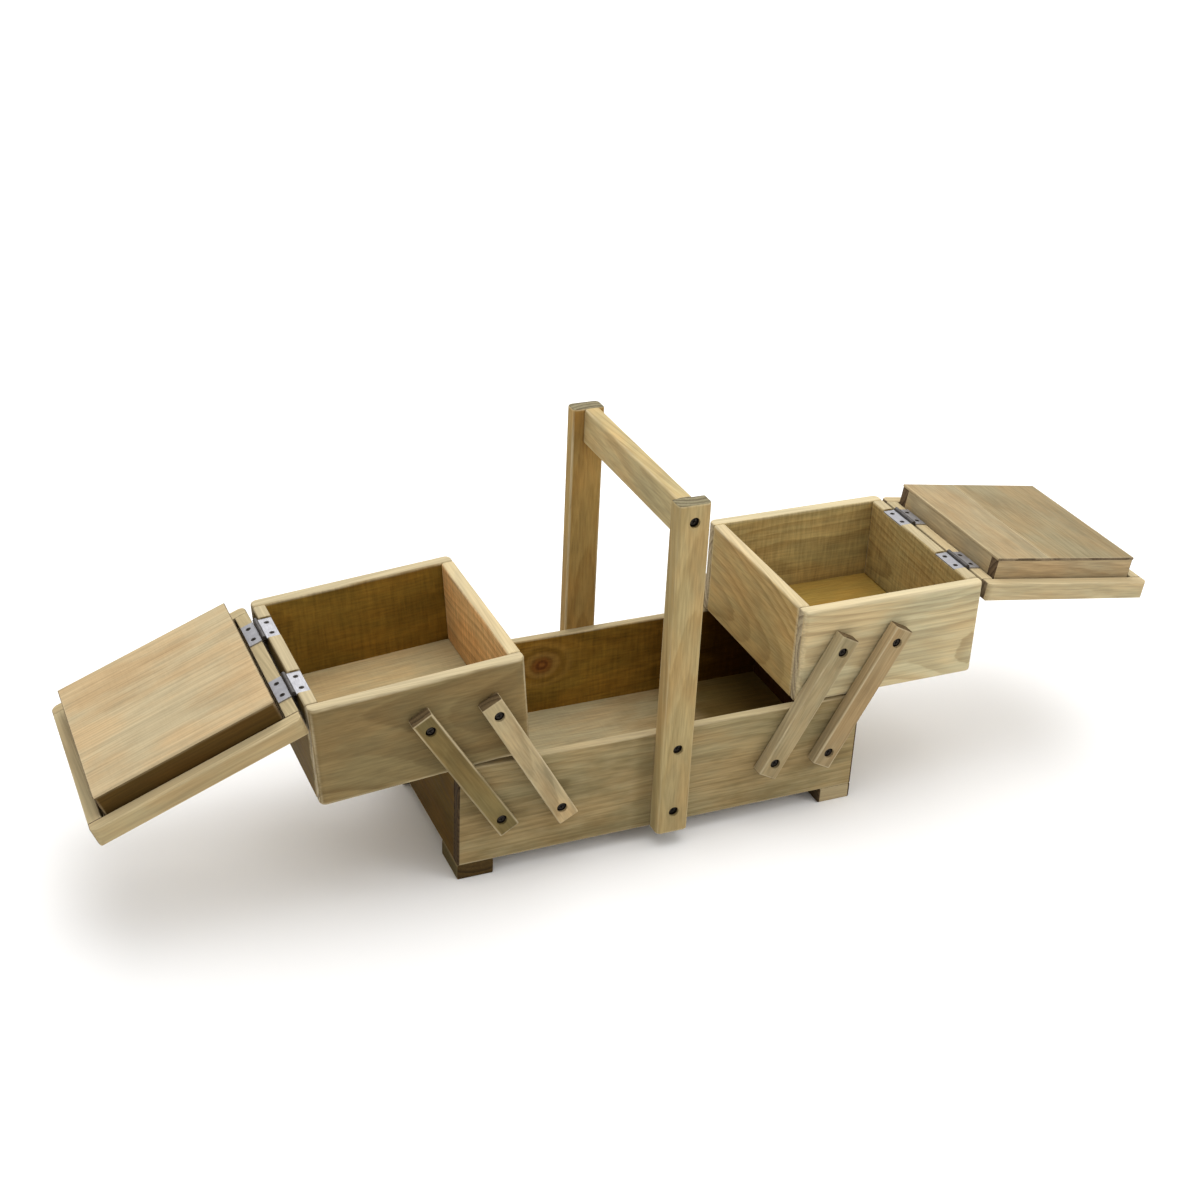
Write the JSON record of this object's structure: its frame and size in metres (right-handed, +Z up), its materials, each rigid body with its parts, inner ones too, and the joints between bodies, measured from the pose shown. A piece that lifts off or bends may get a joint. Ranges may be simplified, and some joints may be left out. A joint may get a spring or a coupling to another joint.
{
  "type": "cantilever sewing box",
  "caption": "Wooden sewing box on feet with a tall carrying frame; trays swing out to both sides on pivoting arms, and their lids hinge outwards.",
  "frame": {"origin": "on the ground under the middle of the bottom box", "axes": "+X along the box towards the right tray, +Y from front to back, +Z up"},
  "size_m": [0.8122, 0.186, 0.276],
  "materials": {
    "pine": "matt, thinly stained, edges worn lighter",
    "pine_light": "matt, thinly stained",
    "pine_dark": "matt, darker stained",
    "ply": "matt plywood",
    "hinge_steel": "plated steel",
    "screw_steel": "dark steel, sunk in the wood"
  },
  "bodies": {
    "box": {"box_front": "pine", "box_back": "pine", "box_left_end": "pine_dark", "box_right_end": "pine_dark", "box_floor": "ply", "front_left_foot": "pine_dark", "front_right_foot": "pine_dark", "back_left_foot": "pine_dark", "back_right_foot": "pine_dark", "front_post": "pine_light", "back_post": "pine_light", "carry_bar": "pine_light", "post_screws": "screw_steel", "bar_screws": "screw_steel", "box_pivot_screws": "screw_steel"},
    "left_front_outer_arm": {"left_front_outer_arm": "pine_light"},
    "left_front_inner_arm": {"left_front_inner_arm": "pine_light"},
    "left_back_outer_arm": {"left_back_outer_arm": "pine_light"},
    "left_back_inner_arm": {"left_back_inner_arm": "pine_light"},
    "left_tray": {"left_tray_front": "pine", "left_tray_back": "pine", "left_tray_inner_end": "pine", "left_tray_outer_end": "pine", "left_tray_floor": "ply", "left_tray_pivot_screws": "screw_steel", "left_tray_hinge_leaves": "hinge_steel", "left_tray_hinge_screws": "hinge_steel", "left_hinge_pins": "hinge_steel"},
    "left_lid": {"left_lid_panel": "pine", "left_lid_front_rim": "pine", "left_lid_back_rim": "pine", "left_lid_hinge_rim": "pine", "left_lid_far_rim": "pine", "left_lid_liner_frame": "pine_dark", "left_lid_liner_board": "pine_light", "left_lid_hinge_leaves": "hinge_steel", "left_lid_hinge_screws": "hinge_steel"},
    "right_front_outer_arm": {"right_front_outer_arm": "pine_light"},
    "right_front_inner_arm": {"right_front_inner_arm": "pine_light"},
    "right_back_outer_arm": {"right_back_outer_arm": "pine_light"},
    "right_back_inner_arm": {"right_back_inner_arm": "pine_light"},
    "right_tray": {"right_tray_front": "pine", "right_tray_back": "pine", "right_tray_inner_end": "pine", "right_tray_outer_end": "pine", "right_tray_floor": "ply", "right_tray_pivot_screws": "screw_steel", "right_tray_hinge_leaves": "hinge_steel", "right_tray_hinge_screws": "hinge_steel", "right_hinge_pins": "hinge_steel"},
    "right_lid": {"right_lid_panel": "pine", "right_lid_front_rim": "pine", "right_lid_back_rim": "pine", "right_lid_hinge_rim": "pine", "right_lid_far_rim": "pine", "right_lid_liner_frame": "pine_dark", "right_lid_liner_board": "pine_light", "right_lid_hinge_leaves": "hinge_steel", "right_lid_hinge_screws": "hinge_steel"}
  },
  "joints": [
    {"name": "left_tray_swing", "type": "hinge", "parent": "box", "child": "left_front_outer_arm", "pos_m": [-0.1293, -0.086, 0.052], "axis": [0, 1, 0], "range_deg": [0, 62.03]},
    {"name": "left_front_inner_arm_swing", "type": "hinge", "parent": "box", "child": "left_front_inner_arm", "pos_m": [-0.0843, -0.086, 0.052], "axis": [0, 1, 0], "range_deg": [0, 62.13]},
    {"name": "left_back_outer_arm_swing", "type": "hinge", "parent": "box", "child": "left_back_outer_arm", "pos_m": [-0.1293, 0.086, 0.052], "axis": [0, 1, 0], "range_deg": [0, 62.13]},
    {"name": "left_back_inner_arm_swing", "type": "hinge", "parent": "box", "child": "left_back_inner_arm", "pos_m": [-0.0843, 0.086, 0.052], "axis": [0, 1, 0], "range_deg": [0, 62.13]},
    {"name": "left_tray_level", "type": "hinge", "parent": "left_front_outer_arm", "child": "left_tray", "pos_m": [-0.18102, -0.086, 0.13465], "axis": [0, 1, 0], "range_deg": [-57.13, 0]},
    {"name": "left_lid_hinge", "type": "hinge", "parent": "left_tray", "child": "left_lid", "pos_m": [-0.26326, 0, 0.15858], "axis": [0, 1, 0], "range_deg": [0, 197.4]},
    {"name": "right_tray_swing", "type": "hinge", "parent": "box", "child": "right_front_outer_arm", "pos_m": [0.1293, -0.086, 0.052], "axis": [0, -1, 0], "range_deg": [0, 58.85]},
    {"name": "right_front_inner_arm_swing", "type": "hinge", "parent": "box", "child": "right_front_inner_arm", "pos_m": [0.0843, -0.086, 0.052], "axis": [0, -1, 0], "range_deg": [0, 58.95]},
    {"name": "right_back_outer_arm_swing", "type": "hinge", "parent": "box", "child": "right_back_outer_arm", "pos_m": [0.1293, 0.086, 0.052], "axis": [0, -1, 0], "range_deg": [0, 58.95]},
    {"name": "right_back_inner_arm_swing", "type": "hinge", "parent": "box", "child": "right_back_inner_arm", "pos_m": [0.0843, 0.086, 0.052], "axis": [0, -1, 0], "range_deg": [0, 58.95]},
    {"name": "right_tray_level", "type": "hinge", "parent": "right_front_outer_arm", "child": "right_tray", "pos_m": [0.17635, -0.086, 0.1374], "axis": [0, -1, 0], "range_deg": [-58.95, 0]},
    {"name": "right_lid_hinge", "type": "hinge", "parent": "right_tray", "child": "right_lid", "pos_m": [0.2562, 0, 0.1684], "axis": [0, -1, 0], "range_deg": [0, 188.7]}
  ],
  "couplings": [
    {"joint": "left_front_inner_arm_swing", "follows": "left_tray_swing", "ratio": 1},
    {"joint": "left_back_outer_arm_swing", "follows": "left_tray_swing", "ratio": 1},
    {"joint": "left_back_inner_arm_swing", "follows": "left_tray_swing", "ratio": 1},
    {"joint": "left_tray_level", "follows": "left_tray_swing", "ratio": -0.9194},
    {"joint": "right_front_inner_arm_swing", "follows": "right_tray_swing", "ratio": 1},
    {"joint": "right_back_outer_arm_swing", "follows": "right_tray_swing", "ratio": 1},
    {"joint": "right_back_inner_arm_swing", "follows": "right_tray_swing", "ratio": 1},
    {"joint": "right_tray_level", "follows": "right_tray_swing", "ratio": -1}
  ]
}
